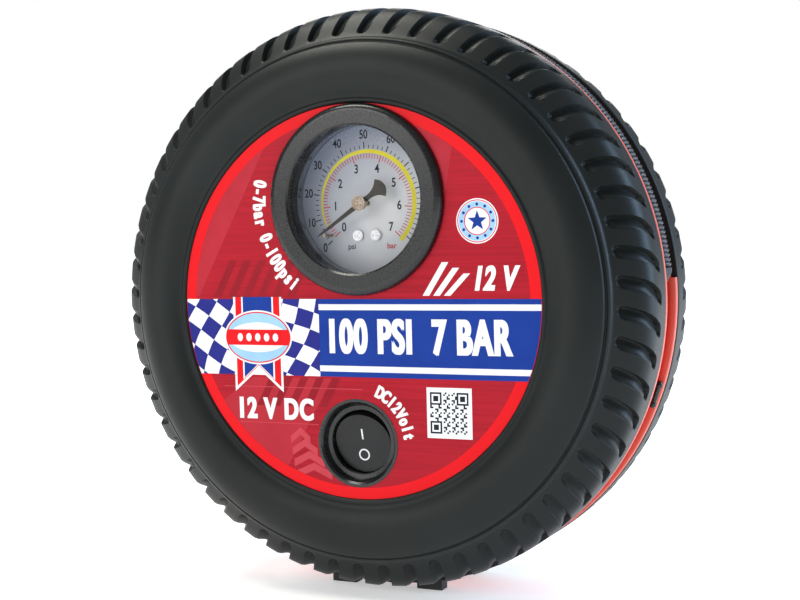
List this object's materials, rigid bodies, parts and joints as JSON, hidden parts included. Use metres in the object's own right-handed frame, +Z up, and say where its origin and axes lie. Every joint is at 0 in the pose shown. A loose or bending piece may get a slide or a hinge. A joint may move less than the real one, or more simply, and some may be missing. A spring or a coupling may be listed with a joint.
{
  "type": "portable tire inflator",
  "caption": "Tyre-shaped portable air compressor with a dial pressure gauge, round rocker switch and a hose stored in a groove round its tread.",
  "frame": {"origin": "on the floor, below the middle of the wheel-shaped body", "axes": "+X to the right of someone facing the gauge, +Y from the face to the back along the wheel's axis, +Z up"},
  "size_m": [0.1694, 0.063, 0.1704],
  "materials": {
    "casing_black": "satin",
    "liner_red": "satin",
    "label_print": "satin printed",
    "trim_black": "fine matte",
    "chrome": "polished",
    "lens_clear": "clear",
    "dial_white": "printed",
    "needle_dark": "satin",
    "bronze": "satin",
    "brass": "machined",
    "steel": "brushed",
    "screw_steel": "zinc",
    "rocker_black": "satin",
    "nylon_white": "moulded",
    "magnet": "ferrite",
    "copper": "wound",
    "aluminium": "cast",
    "hose_black": "ribbed",
    "tube_clear": "soft",
    "rubber": "matte",
    "seal": "matte"
  },
  "bodies": {
    "casing": {"front_casing": "casing_black", "rear_casing": "casing_black", "channel_front_wall": "liner_red", "channel_rear_wall": "liner_red", "channel_floor": "liner_red", "hose_catch": "trim_black", "face_label": "label_print", "gauge_ring": "trim_black", "gauge_bezel": "chrome", "gauge_lens": "lens_clear", "gauge_case": "chrome", "gauge_dial": "dial_white", "needle_stop": "bronze", "dial_screws": "steel", "gauge_movement": "brass", "bourdon_tube": "bronze", "gauge_stem": "brass", "switch_bezel": "trim_black", "switch_body": "trim_black", "rocker_pin": "steel", "switch_terminals": "brass", "gear_axle": "steel", "axle_clip": "steel", "motor_can": "steel", "motor_end_cap": "nylon_white", "motor_bushes": "bronze", "motor_magnets": "magnet", "motor_terminals": "brass", "pump_frame": "aluminium", "cylinder": "aluminium", "cylinder_head": "aluminium", "head_screws": "screw_steel", "air_manifold": "brass", "gauge_tube": "tube_clear", "hose_nipple": "brass", "outlet_tube": "tube_clear", "air_hose": "hose_black", "hose_boot": "rubber", "hose_tail": "brass", "hinge_pin": "steel", "cable_tray": "trim_black", "cable_gland": "rubber", "casing_screws": "screw_steel", "rubber_feet": "rubber"},
    "rocker": {"switch_rocker": "rocker_black"},
    "needle": {"gauge_needle": "needle_dark", "needle_spindle": "bronze"},
    "rotor": {"motor_shaft": "steel", "armature": "copper", "drive_pinion": "brass"},
    "crank": {"crank_gear": "nylon_white"},
    "piston": {"connecting_rod": "nylon_white", "crank_pin": "steel", "piston_seal": "seal", "piston_cap": "aluminium"},
    "connector": {"connector_nut": "brass"},
    "lid": {"rear_lid": "casing_black"}
  },
  "joints": [
    {"name": "rocker_tilt", "type": "hinge", "parent": "casing", "child": "rocker", "pos_m": [0, -0.02335, 0.0453], "axis": [-1, 0, 0], "range_deg": [0, 22]},
    {"name": "needle_sweep", "type": "hinge", "parent": "casing", "child": "needle", "pos_m": [0.001, -0.02, 0.114], "axis": [0, 1, 0], "range_deg": [0, 262], "stiffness_Nm_per_rad": 0.0001, "springref_deg": -28.65},
    {"name": "crank_spin", "type": "hinge", "parent": "casing", "child": "crank", "pos_m": [-0.014, 0.004, 0.0727], "axis": [0, 1, 0], "continuous": true},
    {"name": "motor_spin", "type": "hinge", "parent": "casing", "child": "rotor", "pos_m": [-0.0396, 0.004, 0.0727], "axis": [0, 1, 0], "continuous": true},
    {"name": "piston_stroke", "type": "slide", "parent": "casing", "child": "piston", "axis": [1, 0, 0], "range_m": [0, 0.012]},
    {"name": "connector_turn", "type": "hinge", "parent": "casing", "child": "connector", "pos_m": [-0.06537, 0, 0.03959], "axis": [0.5764, 0, -0.8171], "continuous": true},
    {"name": "lid_swing", "type": "hinge", "parent": "casing", "child": "lid", "pos_m": [0.038, 0.02665, 0.0857], "axis": [0, 0, -1], "range_deg": [0, 90]}
  ],
  "couplings": [
    {"joint": "motor_spin", "follows": "crank_spin", "ratio": -4.3333}
  ]
}
